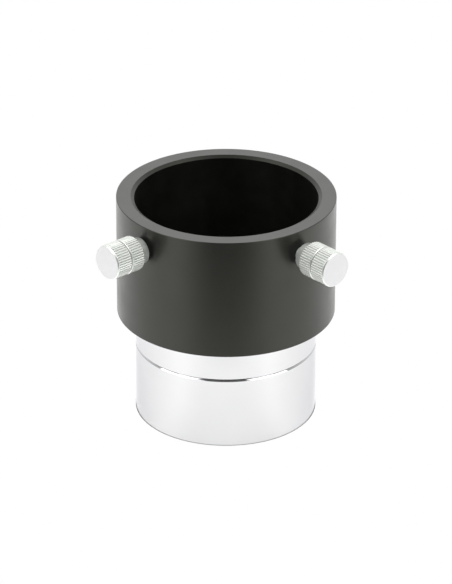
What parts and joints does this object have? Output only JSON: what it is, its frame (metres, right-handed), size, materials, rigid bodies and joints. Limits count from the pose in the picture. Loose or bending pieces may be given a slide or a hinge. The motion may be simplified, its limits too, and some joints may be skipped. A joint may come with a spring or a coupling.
{
  "type": "barlow lens",
  "caption": "Short 2-inch Barlow lens: black eyepiece holder with knurled thumbscrews on a chromed nosepiece whose lower section carries a negative doublet.",
  "frame": {"origin": "on the optical axis, at the end face of the nosepiece, on which the part stands", "axes": "+Z along the optical axis towards the eyepiece; the two thumbscrews lie 45 degrees each side of -Y"},
  "size_m": [0.0686, 0.0651, 0.0652],
  "materials": {
    "black_anodised": "fine turned, matte black anodised",
    "blackened_metal": "dull black anodised",
    "chrome": "bright chrome plating",
    "satin_steel": "nickel-plated, knurled rim and fine turned face",
    "nylon": "plain moulded",
    "crown_glass": "polished, green anti-reflection coating",
    "flint_glass": "polished, violet-green anti-reflection coating",
    "rubber": "dull"
  },
  "bodies": {
    "root": {"eyepiece_holder": "black_anodised", "nosepiece_collar": "chrome", "lens_housing": "chrome", "lens_cell": "blackened_metal", "crown_element": "crown_glass", "element_spacer": "blackened_metal", "flint_element": "flint_glass", "lens_cushion_ring": "rubber", "lens_retaining_ring": "blackened_metal"},
    "left_tip": {"thumbscrew_left_tip": "nylon"},
    "left_thumbscrew": {"thumbscrew_left": "satin_steel"},
    "right_tip": {"thumbscrew_right_tip": "nylon"},
    "right_thumbscrew": {"thumbscrew_right": "satin_steel"}
  },
  "joints": [
    {"name": "left_screw_travel", "type": "slide", "parent": "root", "child": "left_tip", "axis": [0.7071, 0.7071, 0], "range_m": [-0.00323, 0.00078]},
    {"name": "left_screw_turn", "type": "hinge", "parent": "left_tip", "child": "left_thumbscrew", "pos_m": [-0.025, -0.025, 0.05843], "axis": [0.7071, 0.7071, 0], "range_deg": [-1662, 402]},
    {"name": "right_screw_travel", "type": "slide", "parent": "root", "child": "right_tip", "axis": [-0.7071, 0.7071, 0], "range_m": [-0.00244, 0.00156]},
    {"name": "right_screw_turn", "type": "hinge", "parent": "right_tip", "child": "right_thumbscrew", "pos_m": [0.025, -0.025, 0.05843], "axis": [-0.7071, 0.7071, 0], "range_deg": [-1256, 803]}
  ],
  "couplings": [
    {"joint": "left_screw_turn", "follows": "left_screw_travel", "rad_per_m": 8976},
    {"joint": "right_screw_turn", "follows": "right_screw_travel", "rad_per_m": 8976}
  ]
}
